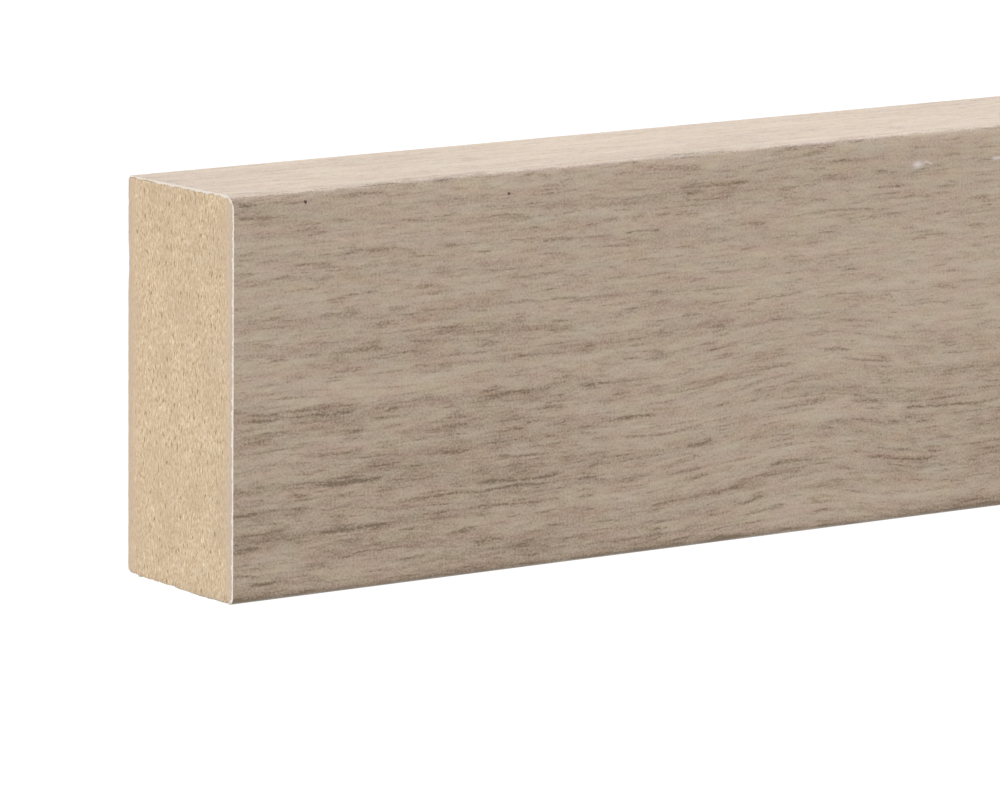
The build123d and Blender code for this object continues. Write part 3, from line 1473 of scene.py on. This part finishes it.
@dataclass(frozen=True)
class Lamp:
    """A broad soft lamp. At a level of 1 it shows the colour of a face square on to it as written."""

    name: str
    towards: tuple[float, float, float]
    level: float
    width_deg: float

    def hang(self) -> None:
        """Puts the lamp into the scene, shining from its side."""
        sun = bpy.data.lights.new(self.name, "SUN")
        sun.energy = math.pi * self.level
        sun.angle = math.radians(self.width_deg)
        hung = bpy.data.objects.new(self.name, sun)
        hung.rotation_euler = Vector(self.towards).to_track_quat("Z", "Y").to_euler()
        bpy.context.scene.collection.objects.link(hung)


@dataclass(frozen=True)
class Studio:
    """A plain pale floor and soft light, with a white surround.

    The upper narrow edge is lit from the back of the batten, so its lamps stand below the floor, as does the
    fill for the sides away from them. The floor lets lamps through.
    """

    lamps: tuple[Lamp, ...] = (
        Lamp("edge_lamp", (-0.33, 0.68, -0.65), 0.62, 10.0),
        Lamp("arris_lamp", (0.55, 0.77, -0.29), 0.33, 22.0),
        Lamp("front_lamp", (-0.42, 0.2, 0.88), 0.7, 60.0),
        Lamp("fill_lamp", (0.35, -0.6, -0.72), 0.4, 40.0),
    )
    sky_level: float = 0.26
    floor_half: float = 15.0
    floor_drop: float = 0.05
    floor_albedo: float = 0.8
    shadow_share: float = 0.1

    @staticmethod
    def seen(board: Board) -> Socket:
        """Tells rays that show the surround from those that carry its light.

        Args:
            board: the material's board.

        Returns:
            1 for a ray from the camera, off a mirror or through glass, and 0 for any other.
        """
        path = board.node("LightPath", {}).outputs
        mirrored = board.calc("MAXIMUM", path["Is Glossy Ray"], path["Is Transmission Ray"])
        return board.calc("MAXIMUM", path["Is Camera Ray"], mirrored)

    def light(self) -> None:
        """Hangs the lamps and sets the sky, which lights at its level and looks white."""
        for lamp in self.lamps:
            lamp.hang()
        world = bpy.data.worlds.new("studio")
        bpy.context.scene.world = world
        world.use_nodes = True
        board = Board(world.node_tree)
        strength = board.calc("MULTIPLY_ADD", self.seen(board), 1 - self.sky_level, self.sky_level)
        sky = board.node("Background", {"Color": (1.0, 1.0, 1.0, 1.0), "Strength": strength})
        board.node("OutputWorld", {"Surface": sky.outputs[0]})

    def floor(self) -> bpy.types.Object:
        """Lays the floor just below the batten: it looks white, with the batten's shadow in soft grey.

        Returns:
            The floor.
        """
        material, board = new_material("studio_floor")
        lit = board.node("BsdfDiffuse", {"Color": (*(self.floor_albedo,) * 3, 1.0)}).outputs[0]
        shade = board.node("BsdfDiffuse", {"Color": (*(self.shadow_share,) * 3, 1.0)}).outputs[0]
        glow = board.node("Emission", {"Strength": 1 - self.shadow_share * self.sky_level}).outputs[0]
        white = board.node("AddShader", {0: shade, 1: glow}).outputs[0]
        mixed = board.node("MixShader", {0: self.seen(board), 1: lit, 2: white}).outputs[0]
        board.node("OutputMaterial", {"Surface": mixed})
        half, low = self.floor_half, -self.floor_drop * MM
        corners = [(-half, -half, low), (half, -half, low), (half, half, low), (-half, half, low)]
        mesh = bpy.data.meshes.new("studio_floor")
        mesh.from_pydata(corners, [], [(0, 1, 2, 3)])
        mesh.materials.append(material)
        laid = bpy.data.objects.new("studio_floor", mesh)
        laid.visible_shadow = False
        bpy.context.scene.collection.objects.link(laid)
        return laid


@dataclass(frozen=True)
class LookingDown:
    """The camera over the sawn end. Its place and aim are millimetres from the middle of that end's back."""

    place: tuple[float, float, float] = (-447.07, 130.24, 658.81)
    aim: tuple[float, float, float] = (32.12, -2.77, 18.0)
    roll_deg: float = 0.464
    lens: float = 295.64
    sensor: float = 36.0
    nearest: float = 0.05

    def set_up(self, end: float) -> None:
        """Puts the camera into the scene, level with the batten's width but for its roll.

        Args:
            end: where the sawn end is, in millimetres along X.
        """
        camera = bpy.data.cameras.new("camera")
        camera.lens, camera.sensor_width, camera.clip_start = self.lens, self.sensor, self.nearest
        place, aim = (Vector(point) + Vector((end, 0, 0)) for point in (self.place, self.aim))
        forward = (aim - place).normalized()
        level = forward.cross(Vector((0, 1, 0))).normalized()
        roll = math.radians(self.roll_deg)
        right = level * math.cos(roll) + level.cross(forward) * math.sin(roll)
        turn = Matrix((right, right.cross(forward), -forward)).transposed().to_4x4()
        held = bpy.data.objects.new("camera", camera)
        held.matrix_world = Matrix.Translation(place * MM) @ turn
        bpy.context.scene.collection.objects.link(held)
        bpy.context.scene.camera = held


def main() -> None:
    """Builds the batten, the studio and the camera."""
    logging.basicConfig(level=logging.INFO, format="%(name)s: %(message)s")
    bpy.context.scene.view_settings.view_transform = "Standard"
    foil_room, core_room = Extent.of(DecorFoil.node), Extent.of(FibreBoardCore.node)
    foil = DecorFoil(foil_room, foil_room.high[2] - core_room.high[2])
    core = FibreBoardCore(core_room, foil, FibreLook().group())
    for part in (core, foil):
        piece = part.build()
        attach(piece, BODY)
        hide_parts(part.node)
        log.info("%s stands for %s, with %d faces", piece.name, part.node, len(piece.data.polygons))
    studio = Studio()
    studio.light()
    studio.floor()
    LookingDown().set_up(core_room.low[0])


if __name__ == "__main__":
    main()
